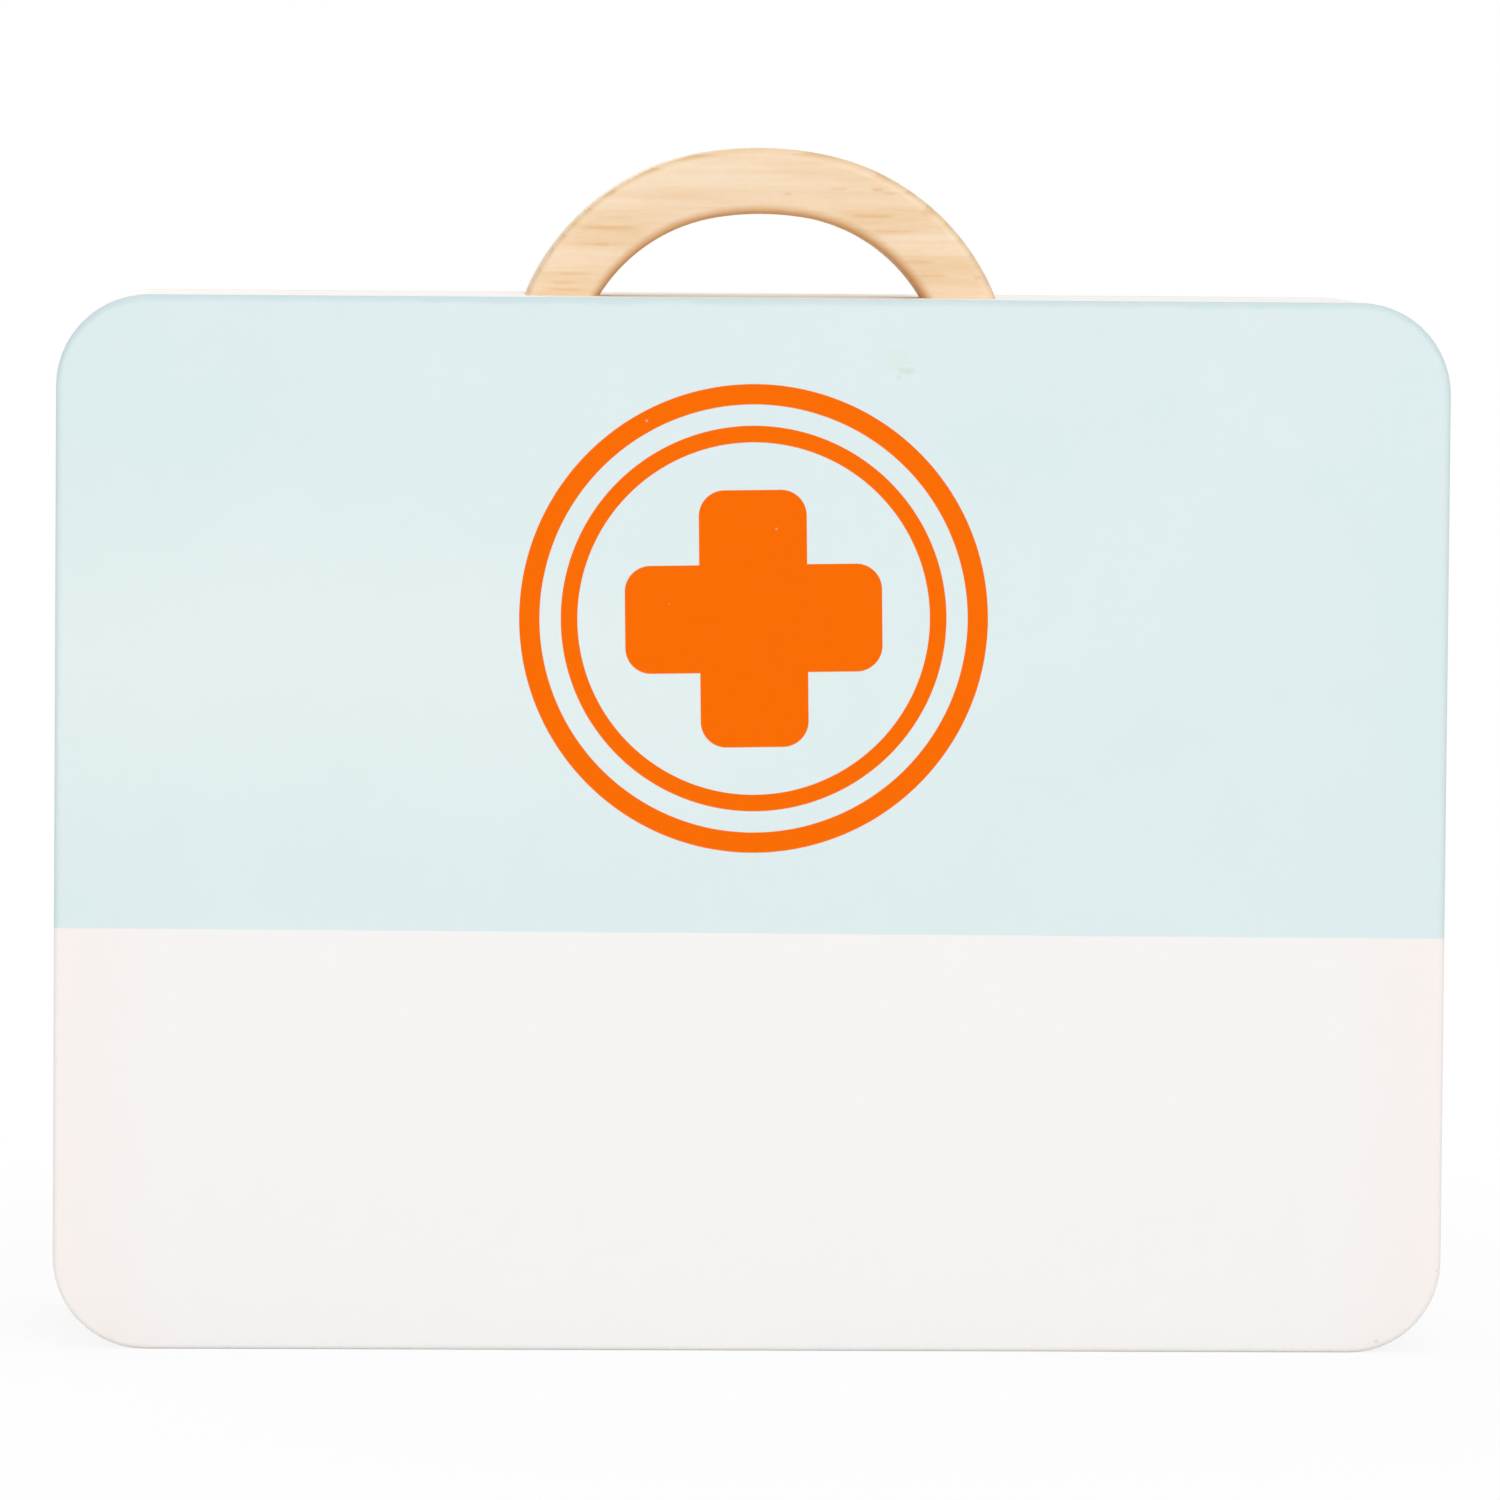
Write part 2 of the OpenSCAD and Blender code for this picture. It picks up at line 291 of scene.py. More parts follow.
def emblem(x, z):
    """1 on the emblem's ink and 0 beside it."""
    up = z - EMBLEM_Z
    distance = (x * x + up * up).root()
    across, up = (abs(x * math.cos(PLUS_TURN) + up * math.sin(PLUS_TURN)),
                  abs(up * math.cos(PLUS_TURN) - x * math.sin(PLUS_TURN)))
    inside = round_bar(across, up, PLUS_SPAN, PLUS_ARM, PLUS_ROUND)
    inside = inside.most(round_bar(across, up, PLUS_ARM, PLUS_SPAN, PLUS_ROUND))
    for inner, outer in RINGS:
        inside = inside.most(ring(distance, inner, outer))
    return inside.above(0, PRINT_SOFT)


print(f"emblem {2 * RINGS[1][1]:.1f} mm across, its plus {PLUS_SPAN} mm")

# %% [markdown]
# A print is never perfect. The field's colour drifts a little from place to place, a few specks
# of dust have left pinholes in the orange ink, something green has rubbed off high on the right,
# and the lower right corner has two nicks. Each is a dot with a place and a size, or a few of
# them, broken up by noise so that its edge isn't a drawn circle.

# %% Small marks of use
def dot(x, z, at_x, at_z, radius, grain):
    """1 inside a small dot on the front, with an edge that grain breaks up."""
    distance = ((x - at_x) * (x - at_x) + (z - at_z) * (z - at_z)).root()
    distance = distance + (grain - 0.5) * radius * 1.6
    return distance.below(radius, radius * 0.35)


# x, z and radius in millimetres
PINHOLES = [(-21.8, 187.4, 0.26), (4.45, 165.9, 0.22), (13.4, 131.2, 0.12), (-17.0, 150.6, 0.1)]
NICKS = [(127.0, 2.4, 0.45), (139.1, 16.8, 0.26)]
# x, z, radius and strength
SMEARS = [
    (28.7, 199.5, 2.4, 0.1), (29.6, 197.7, 0.8, 0.28), (31.0, 197.9, 0.8, 0.28),
    (28.6, 196.6, 0.6, 0.2),
]
print(f"{len(PINHOLES)} pinholes, {len(NICKS)} nicks and a rub mark of {len(SMEARS)} smears")

# %% [markdown]
# The lid's paint is built from the bottom up, as it was put on: off-white all over, aqua above
# the colour line and on the front alone, then the ink, and the marks of use last. Along the
# board's rounded edge the aqua is painted deeper, most of all at the top: painted shade on the
# rounding.
# It has faded a little left of the emblem, and hands have warmed the white at both sides. The
# roller leaves a faint orange peel, which a bump of about a hundredth of a millimetre shows only
# in a grazing light.

# %% Paint and print the lid
OFF_WHITE = seen(245, 245, 244)
WARM_WHITE = seen(248, 244, 241)
AQUA = seen(225, 238, 239)
DEEP_AQUA = seen(217, 234, 235)
FADED_AQUA = seen(232, 242, 241)
EDGE_SHADE_AQUA = seen(202, 221, 224)
BLUSH = seen(250, 241, 237)
ORANGE, DEEP_ORANGE = seen(251, 110, 0), seen(246, 104, 0)
SMEAR, BARE_BOARD = seen(196, 214, 184), seen(190, 178, 168)
COLOUR_LINE, LINE_SLOPE = 84.45, -0.003
PRINT_EDGE = lid_low.y + 1.25
LID_CORNER = 18.5
HAND_WIDTH, FADED_Z, FADED_HALF = 16.0, 138.0, 24.0
PINHOLE_SHOWS, NICK_SHOWS = 0.32, 0.25

lid_paint, start = new_finish("printed_lid", Specular_IOR_Level=0.03)
where, x, y, z = place_mm(start)
drift = lumps(where, 34.0, detail=3.0, seed=1.0)
cloud = lumps(where, 9.0, detail=4.0, seed=2.0)
peel = lumps(where, 0.9, detail=2.0, seed=3.0)
speckle = lumps(where, 0.35, detail=1.0, seed=4.0)

from_side = lid_high.x - abs(x)
aged = (from_side + (drift - 0.5) * 24).below(HAND_WIDTH, 20.0)
white = mixed(drift * 0.7 + cloud * 0.3, OFF_WHITE, WARM_WHITE)
white = mixed(aged * 0.75, white, BLUSH)
patchy = (drift * 0.6 + cloud * 0.25 + speckle * 0.15).above(0.55, 0.22)
aqua = mixed(patchy * 0.55, AQUA, DEEP_AQUA)
aqua = mixed(aged * 0.3, aqua, DEEP_AQUA)
front = (y + (cloud - 0.5) * 0.5).below(PRINT_EDGE, 0.08)
upper = (z - x * LINE_SLOPE + (cloud - 0.5) * 0.12).above(COLOUR_LINE, PRINT_SOFT)
faded = abs(z - FADED_Z).below(FADED_HALF, FADED_HALF) * x.below(20, 120)
aqua = mixed(faded * 0.6, aqua, FADED_AQUA)
lid_middle, lid_w, lid_h = (lid_low.z + lid_high.z) / 2, 2 * lid_high.x, lid_high.z - lid_low.z
from_edge = round_bar(abs(x), abs(z - lid_middle), lid_w, lid_h, LID_CORNER)
# painted shade: the aqua darkens within about a millimetre of the rounded edge, more along the top
thick = (from_edge + (cloud - 0.5) * 1.2).below(1.0, 0.7)
aqua = mixed(thick * (0.35 + z.above(lid_high.z - 12, 10) * 0.5), aqua, EDGE_SHADE_AQUA)
colour = mixed(front * upper, white, aqua)
ink = emblem(x, z + (speckle - 0.5) * 0.05) * front
for at_x, at_z, radius in PINHOLES:
    ink = ink * (1 - dot(x, z, at_x, at_z, radius, speckle) * PINHOLE_SHOWS)
colour = mixed(ink, colour, mixed(cloud * 0.5, ORANGE, DEEP_ORANGE))
for at_x, at_z, radius, strength in SMEARS:
    colour = mixed(dot(x, z, at_x, at_z, radius, peel) * front * strength, colour, SMEAR)
for at_x, at_z, radius in NICKS:
    colour = mixed(dot(x, z, at_x, at_z, radius, speckle) * front * NICK_SHOWS, colour, BARE_BOARD)
surface = peel * 0.7 + speckle * 0.3 + ink * 0.5
wire(lid_paint, Base_Color=colour, Roughness=0.44 + (cloud - 0.5) * 0.1 - ink * 0.06,
     Normal=relief(surface, 0.012))
print("lid paint uses", len(lid_paint.node_tree.nodes), "nodes")

# %% [markdown]
# ## Painted wood for the rim
#
# The four boards of the rim are painted too, but thinly: the grain still shows as faint ridges
# along each board, end grain drinks the paint and dries duller, and the box joints at the corners
# show as hairlines. One function makes the finish for a board from the direction of its grain.
# The seams need no drawing by hand: a finger's edge lies every finger width along the rim. Under
# the arch the top board is painted warmer and a little darker: painted shade from the handle,
# warmed by the pine's bounce.

# %% A painted board with its grain and joints
BOARD_WHITE, BOARD_CREAM = seen(248, 245, 241), seen(242, 238, 232)
END_PAINT, SEAM_LINE, ARCH_SHADE = seen(238, 233, 225), seen(196, 188, 176), seen(212, 196, 180)
SEAM_SOFT = 0.06
SHADE_HALF_X, SHADE_HALF_Y = 32.0, 22.0
handle_x, handle_y = (handle_low.x + handle_high.x) / 2, (handle_low.y + handle_high.y) / 2


def painted_board(name, grain_axis, seed):
    """White paint on a board whose grain runs along x or z."""
    paint, start = new_finish(name, Specular_IOR_Level=0.3)
    where, x, y, z = place_mm(start)
    face_x, _, face_z = facing(start)
    along = (30, 1, 1) if grain_axis == "x" else (1, 1, 30)
    fibre = lumps(where, 0.55, along, detail=3.0, seed=seed)
    figure = lumps(where, 3.5, along, detail=2.0, seed=seed + 1)
    drift = lumps(where, 26.0, detail=3.0, seed=seed + 2)
    roller = lumps(where, 0.7, detail=2.0, seed=seed + 3)

    ends = abs(face_x if grain_axis == "x" else face_z).above(0.75, 0.2)
    corner_x = abs(x).above(side_x - board_t, SEAM_SOFT)
    corner_z = z.above(top_low.z, SEAM_SOFT).most(z.below(board_t, SEAM_SOFT))
    corner = corner_x * corner_z
    fingers = (y - rim_front) / finger_w
    off_edge = abs(fingers - fingers.maths("ROUND", fingers)) * finger_w
    inner_edges = y.above(rim_front + 1, 0.5) * y.below(rim_back - 1, 0.5)
    seam = off_edge.below(0.05, 0.05) * corner * inner_edges
    if grain_axis == "x":
        shoulder = z.below(top_low.z + SEAM_SOFT, 0.04) * z.above(top_low.z / 2, 1)
    else:
        shoulder = abs(x).below(side_x - board_t + SEAM_SOFT, 0.04)
    seam = seam.most(shoulder * corner)

    tone = (drift * 0.5 + figure * 0.3 + fibre * 0.2).above(0.5, 0.3)
    colour = mixed(tone * 0.8, BOARD_WHITE, BOARD_CREAM)
    # painted shade: under the handle's arch the top board's white is darkened and warmed
    arch_shade_mask = abs(x - handle_x).below(SHADE_HALF_X, 2.5)
    arch_shade_mask = arch_shade_mask * abs(y - handle_y).below(SHADE_HALF_Y, 14.0) * z.above(top_low.z, 1)
    colour = mixed(arch_shade_mask * (0.42 + drift * 0.3), colour, ARCH_SHADE)
    colour = mixed(ends * 0.5, colour, END_PAINT)
    colour = mixed(seam * 0.4, colour, SEAM_LINE)
    height = fibre * 0.35 + figure * 0.25 + roller * 0.4 - seam * 1.5 - ends * (1 - roller) * 0.5
    wire(paint, Base_Color=colour, Roughness=0.5 + ends * 0.16 + (figure - 0.5) * 0.12,
         Normal=relief(height, 0.02))
    return paint


lying_paint = painted_board("painted_board_lying", "x", 11.0)
standing_paint = painted_board("painted_board_standing", "z", 17.0)
print("two board finishes:", lying_paint.name, "and", standing_paint.name)

# %% [markdown]
# ## Painted fibreboard for the back
#
# The back panel is thin fibreboard. It has no grain, so its paint shows only the roller's fine
# stipple, and its sawn edges are a little rougher and warmer, because fibre soaks up the first
# coat. The edges are found by the way that they face, which saves a second material for them.

# %% Paint the back panel
BACK_WHITE, BACK_CREAM, SAWN_EDGE = seen(247, 244, 240), seen(243, 239, 234), seen(234, 226, 214)

back_paint, start = new_finish("painted_fibreboard", Specular_IOR_Level=0.3)
where, *_ = place_mm(start)
_, face_y, _ = facing(start)
drift = lumps(where, 40.0, detail=3.0, seed=23.0)
stipple = lumps(where, 0.8, detail=3.0, seed=24.0)
fuzz = lumps(where, 0.25, detail=2.0, seed=25.0)
sawn = abs(face_y).below(0.5, 0.3)
colour = mixed(drift, BACK_WHITE, BACK_CREAM)
colour = mixed(sawn * (0.4 + fuzz * 0.4), colour, SAWN_EDGE)
wire(back_paint, Base_Color=colour, Roughness=0.5 + sawn * 0.18 + (stipple - 0.5) * 0.1,
     Normal=relief(stipple * 0.6 + sawn * fuzz, 0.018))
print("back paint uses", len(back_paint.node_tree.nodes), "nodes")

# %% [markdown]
# ## Pine for the handle
#
# The handle is sawn from a pine board whose grain runs level, so the growth rings cross the front
# as nearly level bands. Rings are distances from the tree's heart, which lay somewhere below and
# behind the board. Over them lie the fine fibres and a few short resin streaks, which are the
# marks that the eye finds first. So the strongest streaks, and the broadest pale and deep bands,
# get their own places and noise gives the rest.

# %% Bands and streaks in the pine
# each mark: middle x, middle z, half its length, half its height and its strength, below 0 if pale
BANDS = [
    (-28.5, 224.7, 9.0, 2.0, 0.35), (27.1, 227.6, 12.0, 1.9, 0.42), (40.0, 217.4, 10.0, 2.1, 0.42),
    (-37.5, 214.0, 8.0, 1.7, 0.25), (-33.4, 219.4, 9.0, 1.4, -0.3), (35.7, 222.9, 9.5, 1.7, -0.3),
    (-10.0, 236.6, 24.0, 2.6, -0.3), (-27.5, 230.6, 7.0, 1.4, -0.2),
]
STREAKS = [
    (-28.6, 225.6, 6.6, 0.34, 0.8), (-30.9, 222.2, 8.5, 0.3, 0.55), (-30.4, 222.2, 2.2, 0.32, 1.0),
    (-27.7, 227.8, 5.3, 0.25, 0.35), (-35.7, 216.2, 3.2, 0.32, 0.6), (-37.8, 214.3, 2.4, 0.28, 0.5),
    (-37.5, 213.0, 4.2, 0.28, 0.55), (7.6, 232.7, 1.0, 0.3, 0.6), (18.1, 233.8, 1.8, 0.26, 0.6),
    (26.0, 233.8, 1.6, 0.36, 0.9), (28.4, 233.1, 1.6, 0.3, 0.5), (25.0, 228.4, 4.9, 0.36, 0.9),
    (36.4, 229.2, 1.8, 0.55, 0.8), (29.4, 225.4, 5.6, 0.24, 0.5), (34.2, 218.9, 2.9, 0.38, 0.7),
    (37.1, 216.3, 3.2, 0.3, 0.6), (46.6, 216.0, 0.9, 0.34, 0.7),
]


def level_mark(x, z, waver, at_x, at_z, half, thick):
    """1 along a level mark on the front, fading towards its ends and its long sides."""
    line = abs(z - at_z + waver).below(thick, thick)
    return line * (abs(x - at_x) + waver * 3).below(half * 0.8, half * 0.4)


print(len(BANDS), "bands and", len(STREAKS), "streaks")

# %% [markdown]
# Where the arch turns down, the saw cut across the fibres, and this end grain soaks up the
# lacquer; the side faces are painted a little darker still, as painted shade on the sides. The
# inner edge, which faces in towards the arch's centre, is painted a deeper brown: painted shade
# under the arch, warmed by the wood's own bounce. The outer side that looks up, along the
# crown's top, is painted a deeper yellow: a warmer tone with painted shade that holds back the
# light from above. How far a face looks out from the arch or in towards its centre is the part
# of its normal that points along the radius, which is easy to work out because the arch is nearly
# a piece of a circle.

# %% Pine, cut level and lightly lacquered
PINE = seen(249, 225, 196)
PINE_DEEP = seen(237, 202, 156)
STREAK = seen(226, 173, 114)
TOP_SHADE_YELLOW = seen(218, 180, 126)
END_GRAIN_SHADE = seen(219, 189, 156)
INNER_SHADE = seen(221, 164, 102)
ARCH_R = 55.0
HEART_Y, HEART_Z = 46.0, 128.0
RING_GAP = 3.1
LATE_FROM, LATE_TO = 0.62, 0.95

pine, start = new_finish("sanded_pine", Specular_IOR_Level=0.3, Coat_Roughness=0.35)
where, x, y, z = place_mm(start)
face_x, _, face_z = facing(start)
waves = lumps(where, 7.0, (7, 1.5, 1), detail=2.0, seed=31.0)
fibre = lumps(where, 0.22, (40, 1, 1), detail=3.0, seed=32.0)
figure = lumps(where, 1.3, (14, 1.5, 1), detail=3.0, seed=33.0)
fleck = lumps(where, 0.5, (9, 1, 1), detail=1.0, seed=34.0)
mottle = lumps(where, 0.9, (1.6, 1, 1), detail=3.0, seed=35.0)
pores = lumps(where, 0.3, detail=1.0, seed=36.0)

heart_y, heart_z = y - HEART_Y, z - HEART_Z
radius = (heart_y * heart_y + heart_z * heart_z).root() + (waves - 0.5) * 5.0
years = radius / RING_GAP
season = years - years.maths("FLOOR", years)
late = season.above(LATE_FROM, 0.3) * season.below(LATE_TO, 0.05)

from_x = x - handle_x
from_z = z - (handle_high.z - ARCH_R)
from_centre = (from_x * from_x + from_z * from_z).root()
outward = (from_x * face_x + from_z * face_z) / from_centre
ends_and_shade = abs(face_x).above(0.62, 0.3)

waver = (waves - 0.5) * 0.7 + (figure - 0.5) * 0.5
tone = late * 0.16 + (figure - 0.5) * 0.9 + (mottle - 0.5) * 0.35 + 0.34
for *place, strength in BANDS:
    tone = tone + level_mark(x, z, waver * 2, *place) * strength
colour = mixed(tone.most(0).least(1), PINE, PINE_DEEP)
marks = fleck.above(0.74, 0.06) * 0.3
for *place, strength in STREAKS:
    marks = marks.most(level_mark(x, z, waver, *place) * strength)
colour = mixed(marks * (fibre * 0.7 + 0.22), colour, STREAK)
# painted shade: the up-facing outer side of the crown is painted a deeper yellow
top_shade = (outward * 1.2).most(0).least(1) * face_z.above(0.45, 0.3)
colour = mixed(top_shade * (late * 0.5 + fibre * 0.5 + (figure - 0.5) * 0.3 + 0.18), colour, TOP_SHADE_YELLOW)
# end grain on the side faces, also painted darker as painted shade on the sides
colour = mixed(ends_and_shade * (pores * 0.4 + late * 0.4 + 0.15), colour, END_GRAIN_SHADE)
# painted shade: faces that look in towards the arch's centre are painted a deeper brown
colour = mixed((outward * -1.05 + (figure - 0.5) * 0.2).most(0).least(0.86), colour, INNER_SHADE)
height = fibre * 0.5 + figure * 0.2 + late * 0.3 + ends_and_shade * pores * 0.5
wire(pine, Base_Color=colour, Roughness=0.48 + (fibre - 0.5) * 0.16 + ends_and_shade * 0.08,
     Coat_Weight=0.14 - late * 0.05, Normal=relief(height, 0.016))
print("pine uses", len(pine.node_tree.nodes), "nodes")

# %% [markdown]
# ## Brass, zinc and nickel
#
# The fittings are small, but the open lid shows them. Rolled brass has fine scratches along the
# leaf and dulls in patches, zinc on a screw is greyer and mottled, and a magnet's nickel is close
# to a mirror. Metals get their colour from the base colour and nearly all their look from
# roughness, so one function makes all three.

# %% Metal finishes
def metal(name, bright, dull, rough, patch_mm, along, seed):
    """A metal with fine scratches along one axis and dull patches."""
    material, start = new_finish(name, Metallic=1.0)
    where, *_ = place_mm(start)
    scratches = lumps(where, 0.06, along, detail=2.0, seed=seed)
    patches = lumps(where, patch_mm, detail=3.0, seed=seed + 1)
    tarnish = patches.above(0.55, 0.18)
    wire(material, Base_Color=mixed(tarnish * 0.8, bright, dull),
         Roughness=rough + tarnish * 0.12 + (scratches - 0.5) * 0.14,
         Normal=relief(scratches * 0.7 + patches * 0.3, 0.004))
    return material


brass = metal("rolled_brass", seen(222, 202, 156), seen(204, 180, 130),
              rough=0.3, patch_mm=3.5, along=(25, 1, 1), seed=41.0)
zinc = metal("zinc_on_steel", seen(214, 216, 220), seen(186, 188, 192),
             rough=0.32, patch_mm=1.1, along=(1, 1, 1), seed=45.0)
nickel = metal("nickel_on_magnet", seen(226, 224, 220), seen(206, 203, 198),
               rough=0.16, patch_mm=1.6, along=(1, 1, 1), seed=49.0)
print("metals:", brass.name, zinc.name, nickel.name)

# %% [markdown]
# ## Give the parts their finishes
#
# A CAD part keeps its mesh and only changes its material, so one table of parts and finishes is
# enough.

# %% Assign the finishes
FINISHES = {
    "front_lid": lid_paint, "back_panel": back_paint, "top_rail": lying_paint,
    "bottom_rail": lying_paint, "left_rail": standing_paint, "right_rail": standing_paint,
    "carry_handle": pine, "body_magnets": nickel, "lid_magnets": nickel,
    "left_hinge_body_leaf": brass, "left_hinge_lid_leaf": brass, "left_hinge_pin": zinc,
    "right_hinge_body_leaf": brass, "right_hinge_lid_leaf": brass, "right_hinge_pin": zinc,
    "handle_screws": zinc, "hinge_body_screws": brass, "hinge_lid_screws": brass,
}
for node, material in FINISHES.items():
    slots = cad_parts[node].data.materials
    slots.clear()
    slots.append(material)
print(len(FINISHES), "parts finished")

# %% [markdown]
# ## Screws with a cross recess
#
# The solid screws have plain heads, and the real ones take a cross driver. The recess could be
# cut with a boolean, but a screw is a turned part, so its outline is spun about its axis and the
# head's face is left open. A cross is drawn inside the rim, the flat between them is filled, and
# the cross is pushed down with sloping walls, as a driver's tip needs.

# %% Turn one screw
# the straight rim under a head's face, the tip's length, and two widths as shares: that of the tip
# against the shank's, and that of the recess's floor against its mouth's
RIM_H, TIP_H = 0.1, 0.3
TIP_SHARE, FLOOR_SHARE = 0.35, 0.62
HANDLE_SCREW = {"head_r": 3.5, "shank_r": 1.75, "recess_r": 2.0, "recess_w": 0.8, "depth": 1.3}
HINGE_SCREW = {"head_r": 2.0, "shank_r": 1.0, "recess_r": 1.15, "recess_w": 0.45, "depth": 0.7}


def turned_screw(length, head_r, shank_r, recess_r, recess_w, depth):
    """A countersunk screw in millimetres along +Z, its face at z = 0, as a bmesh."""
    made = bmesh.new()
    outline = [(head_r, 0), (head_r, RIM_H), (shank_r, head_r - shank_r + RIM_H),
               (shank_r, length - 2 * shank_r), (shank_r * TIP_SHARE, length - TIP_H), (0, length)]
    verts = [made.verts.new((radius, 0, height)) for radius, height in outline]
    edges = [made.edges.new(pair) for pair in zip(verts, verts[1:])]
    bmesh.ops.spin(made, geom=verts + edges, axis=(0, 0, 1), cent=(0, 0, 0), angle=2 * math.pi,
                   steps=32, use_merge=True)
    bmesh.ops.remove_doubles(made, verts=made.verts, dist=1e-4)
    rim = [edge for edge in made.edges if edge.is_boundary]

    half = recess_w / 2
    quarter = [(half, half), (half, recess_r), (-half, recess_r)]
    corners = []
    for turn in range(4):
        for across, up in quarter:
            place = Matrix.Rotation(turn * math.pi / 2, 4, "Z") @ Vector((across, up, 0))
            corners.append(made.verts.new(place))
    cross = [made.edges.new((corners[i], corners[(i + 1) % 12])) for i in range(12)]
    bmesh.ops.triangle_fill(made, edges=rim + cross, use_beauty=True)
    walls = bmesh.ops.extrude_edge_only(made, edges=cross)["geom"]
    low = [item for item in walls if isinstance(item, bmesh.types.BMVert)]
    bmesh.ops.scale(made, vec=(FLOOR_SHARE, FLOOR_SHARE, 1), verts=low)
    bmesh.ops.translate(made, vec=(0, 0, depth), verts=low)
    bmesh.ops.holes_fill(made, edges=[edge for edge in made.edges if edge.is_boundary])
    bmesh.ops.recalc_face_normals(made, faces=made.faces)
    return made


sample = turned_screw(21.0, **HANDLE_SCREW)
closed = all(edge.is_manifold for edge in sample.edges)
print("one screw has", len(sample.faces), "faces, closed:", closed)
sample.free()

# %% [markdown]
# The screws' places come from the boxes of the CAD screws that they stand for: the outermost
# heads touch the box on every side, so each axis lies a head's radius inside it. Each screw is
# turned to an angle of its own, because nobody stops driving a screw when its cross lines up.

# %% Set the screws
# in radians
FIRST_TURN, NEXT_TURN = 0.4, 1.1


def set_screws(name, node, body, places, along, material, length, shape):
    """Screws at the places in millimetres, pointing along a direction, as one piece."""
    joined = bmesh.new()
    tilt = Vector((0, 0, 1)).rotation_difference(Vector(along)).to_matrix().to_4x4()
    for index, place in enumerate(places):
        screw = turned_screw(length, **shape)
        driven = Matrix.Rotation(FIRST_TURN + NEXT_TURN * index, 3, "Z")
        bmesh.ops.rotate(screw, cent=(0, 0, 0), matrix=driven, verts=screw.verts)
        put = Matrix.Scale(MM, 4) @ Matrix.Translation(place) @ tilt
        bmesh.ops.transform(screw, matrix=put, verts=screw.verts)
        loose = bpy.data.meshes.new("loose_screw")
        screw.to_mesh(loose)
        screw.free()
        joined.from_mesh(loose)
        bpy.data.meshes.remove(loose)
    mesh = bpy.data.meshes.new(name)
    joined.to_mesh(mesh)
    joined.free()
    mesh.materials.append(material)
    piece = bpy.data.objects.new(name, mesh)
    bpy.context.scene.collection.objects.link(piece)
    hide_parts(node)
    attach(piece, body)


low, high = box_mm("handle_screws")
head = HANDLE_SCREW["head_r"]
spots = [Vector((x_at, y_at, low.z)) for x_at in (low.x + head, high.x - head)
         for y_at in (low.y + head, high.y - head)]
set_screws("handle_screws_cross", "handle_screws", "tray", spots, (0, 0, 1), zinc,
           high.z - low.z, HANDLE_SCREW)
print(len(spots), "handle screws set")

head = HINGE_SCREW["head_r"]
leaf_low, leaf_high = box_mm("left_hinge_body_leaf")
for label, node, body, way in (("hinge_body_screws_cross", "hinge_body_screws", "tray", 1),
                               ("hinge_lid_screws_cross", "hinge_lid_screws", "lid", -1)):
    low, high = box_mm(node)
    outer = low.x + head
    inner = leaf_high.x - (outer - leaf_low.x)
    face_at = low.y if way > 0 else high.y
    middle_z = (low.z + high.z) / 2
    spots = [Vector((x_at, face_at, middle_z)) for x_at in (outer, inner, -inner, -outer)]
    set_screws(label, node, body, spots, (0, way, 0), brass,
               high.y - low.y, HINGE_SCREW)
    print(len(spots), "hinge screws set in the", body)

# %% [markdown]
# ## Floor and light
#
# The case stands on a white floor under a white sky, as in a studio. The floor is plain pale
# paint to the light, so it bounces light up and takes the case's shadow. To the camera it fades
# into pure white a little way from the case, so that no horizon shows. A curved paper backdrop
# would do that too, but it would stand in the way of the views from behind.

# %% Lay the floor
FLOOR_HALF = 12.0
WHITE_NEAR = 0.86
FADE_AT, FADE_SOFT = 270, 150


def looked_at(start):
    """1 for what the camera sees, straight or in a mirror or glass, and 0 for light's own rays."""
    rays = start.node("ShaderNodeLightPath", {}, {}, "Is Camera Ray")
    return rays.most(rays.output("Is Glossy Ray")).most(rays.output("Is Transmission Ray"))


grid = bmesh.new()
bmesh.ops.create_grid(grid, x_segments=1, y_segments=1, size=FLOOR_HALF)
floor_mesh = bpy.data.meshes.new("floor")
grid.to_mesh(floor_mesh)
grid.free()
floor = bpy.data.objects.new("floor", floor_mesh)
bpy.context.scene.collection.objects.link(floor)
floor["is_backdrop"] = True

floor_paint, start = new_finish("pale_floor", Base_Color=(0.92, 0.92, 0.92, 1), Roughness=0.8,
                                Specular_IOR_Level=0.1)
_, x, y, _ = place_mm(start)
away = (x * x + y * y).root()
white_share = looked_at(start) * (WHITE_NEAR + away.above(FADE_AT, FADE_SOFT) * (1 - WHITE_NEAR))
glow = start.node("ShaderNodeEmission", {}, {"Color": (1, 1, 1, 1), "Strength": 1.0})
tree = floor_paint.node_tree
paint = Field(tree, tree.nodes["Principled BSDF"].outputs[0])
shown = start.node("ShaderNodeMixShader", {}, {0: white_share, 1: paint, 2: glow})
tree.links.new(shown.socket, tree.nodes["Material Output"].inputs[0])
floor_mesh.materials.append(floor_paint)
print("floor laid,", floor.dimensions.x, "m wide")

# %% [markdown]
# The sky gives soft light from all sides. One large lamp above and to the right of the camera
# lights the front, and weaker ones to the left, above and behind keep the other sides from going
# dull. Their strengths are set so that a white face looking forward renders about as white as it
# is painted.

# %% Light the case
SKY_LIGHT = 0.5
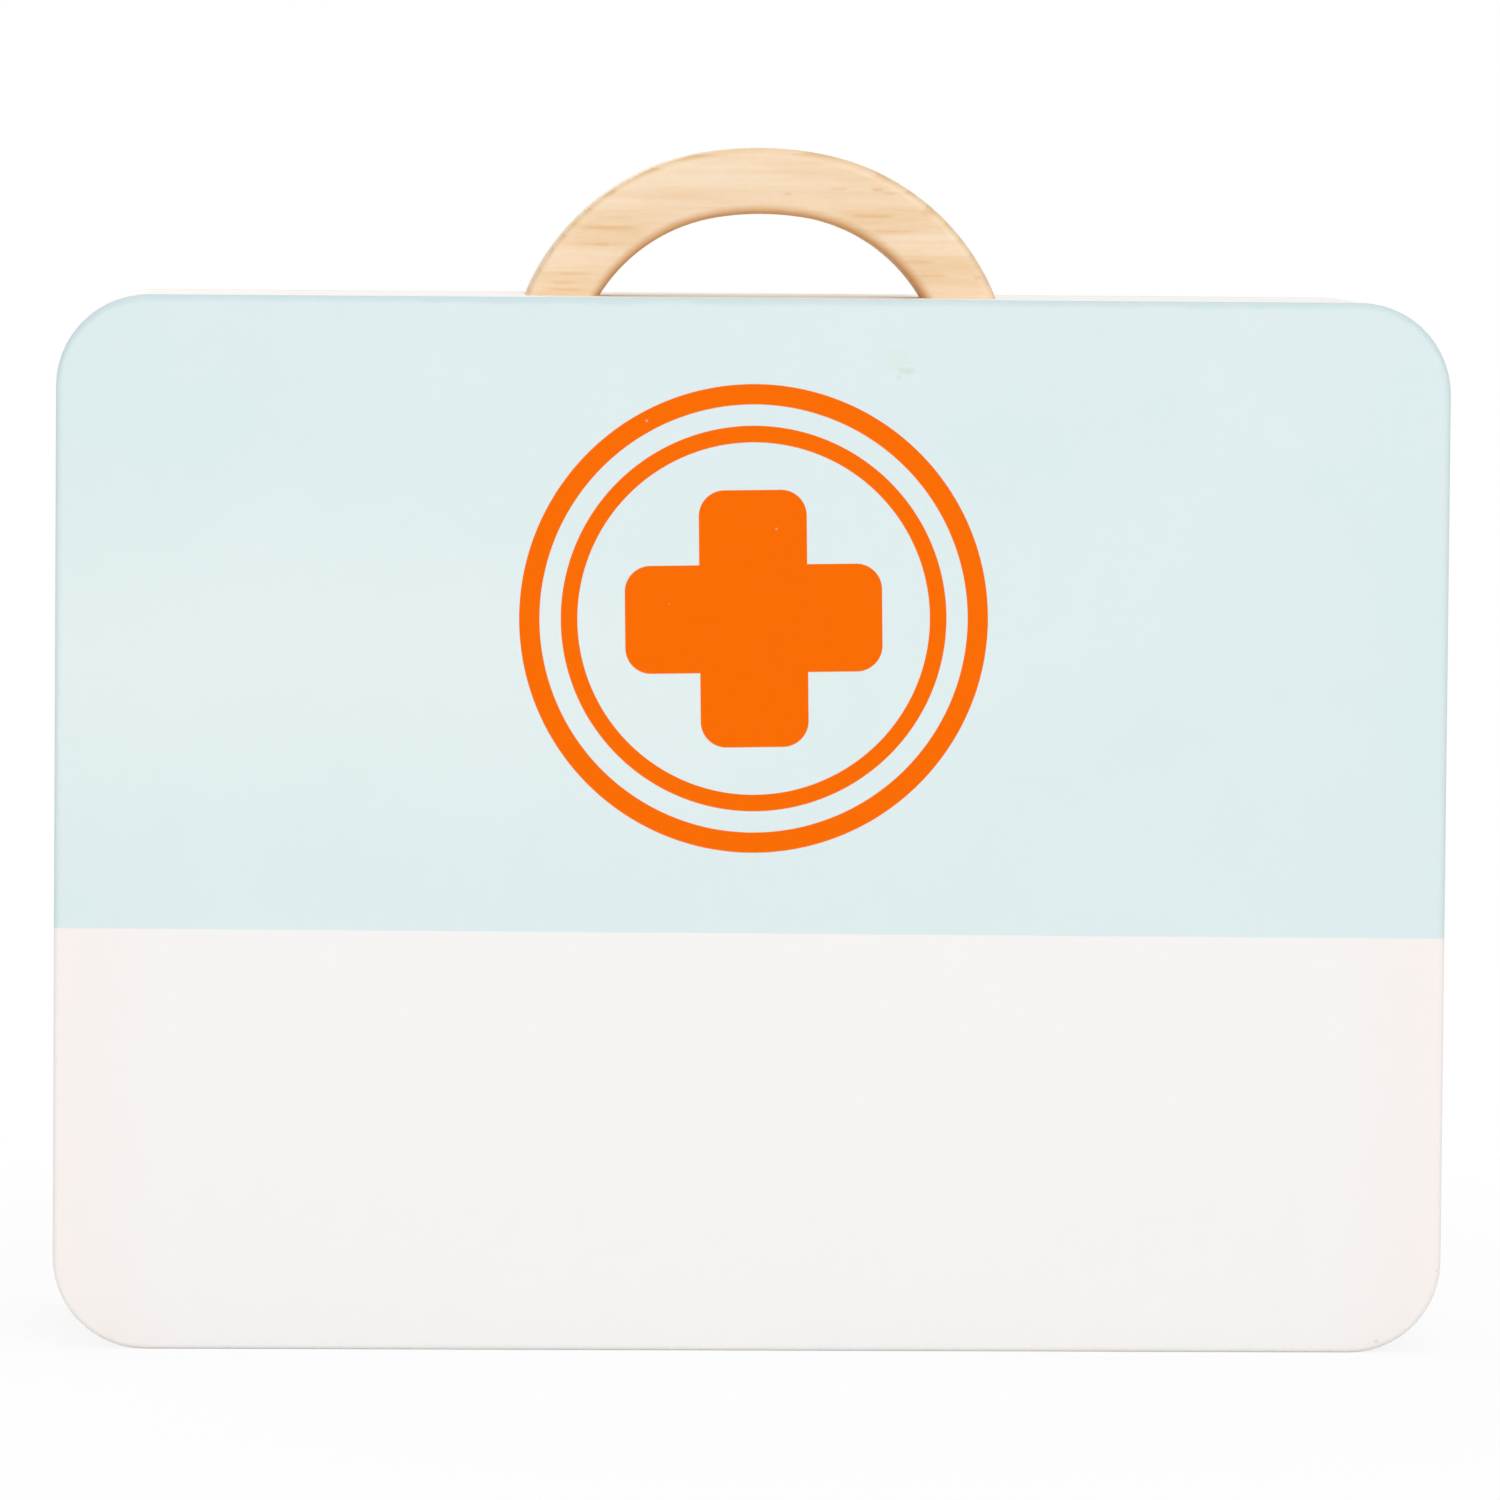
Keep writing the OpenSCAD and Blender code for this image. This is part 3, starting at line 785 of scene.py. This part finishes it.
# each lamp: place and aim in metres, width in metres and power in watts
LAMPS = {
    "front_light": ((0.9, -2.6, 1.5), (0, 0, 0.12), 1.4, 28.9),
    "left_light": ((-2.2, -1.8, 1.0), (0, 0, 0.12), 1.2, 11),
    "top_light": ((0.2, 0.2, 2.4), (0, 0, 0), 1.0, 11.5),
    "back_light": ((-0.9, 2.6, 1.6), (0, 0, 0.12), 1.4, 12),
}
world = bpy.data.worlds.new("white_studio")
bpy.context.scene.world = world
world.use_nodes = True
backdrop = world.node_tree.nodes["Background"]
backdrop.inputs["Color"].default_value = (1, 1, 1, 1)
strength = SKY_LIGHT + looked_at(Field(world.node_tree)) * (1 - SKY_LIGHT)
world.node_tree.links.new(strength.socket, backdrop.inputs["Strength"])


def soft_lamp(name, place, aim, width, power):
    """A square area lamp at a place, pointing at aim."""
    light = bpy.data.lights.new(name, "AREA")
    light.shape, light.size, light.energy = "SQUARE", width, power
    lamp = bpy.data.objects.new(name, light)
    lamp.location = place
    lamp.rotation_euler = (Vector(place) - Vector(aim)).to_track_quat("Z", "Y").to_euler()
    bpy.context.scene.collection.objects.link(lamp)


for name, (place, aim, width, power) in LAMPS.items():
    soft_lamp(name, place, aim, width, power)
print("sky at", SKY_LIGHT, "and", len(LAMPS), "lamps")

# %% [markdown]
# ## The camera
#
# The case is seen almost square on, by a long lens from a little to the left and above: the lid's
# right edge is slightly shorter than its left one, and a sliver of the top shows. The camera is
# leaned by half a degree, which gives the lid's edges their slope in the picture.

# %% Place the camera
AZIMUTH, ELEVATION, LEAN = math.radians(-2.3), math.radians(3.5), math.radians(0.457)
DISTANCE = 2.1
AIM = Vector((-0.00054, -0.040, 0.1214))
SENSOR_MM, LENS_MM = 36.0, 250.9
back = Vector((math.sin(AZIMUTH) * math.cos(ELEVATION), -math.cos(AZIMUTH) * math.cos(ELEVATION),
               math.sin(ELEVATION)))
right = Vector((0, 0, 1)).cross(back).normalized()
up = back.cross(right)
leaned_right = math.cos(LEAN) * right + math.sin(LEAN) * up
leaned_up = math.cos(LEAN) * up - math.sin(LEAN) * right

lens = bpy.data.cameras.new("camera")
lens.sensor_width = SENSOR_MM
lens.lens = LENS_MM
lens.clip_start, lens.clip_end = 0.1, 100.0
camera = bpy.data.objects.new("camera", lens)
turned = Matrix((leaned_right, leaned_up, back)).transposed().to_4x4()
camera.matrix_world = Matrix.Translation(AIM + DISTANCE * back) @ turned
bpy.context.scene.collection.objects.link(camera)
bpy.context.scene.camera = camera
bpy.context.scene.view_settings.view_transform = "Standard"
print("camera at", [round(value, 3) for value in camera.matrix_world.translation])

# %% [markdown]
# ## The size after finishing
#
# The looks must not change the size, so the box of the finished model is printed in millimetres.

# %% Print the finished box
low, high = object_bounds()
print("visual box in mm:", [round(value / MM, 2) for value in (*low, *high)])
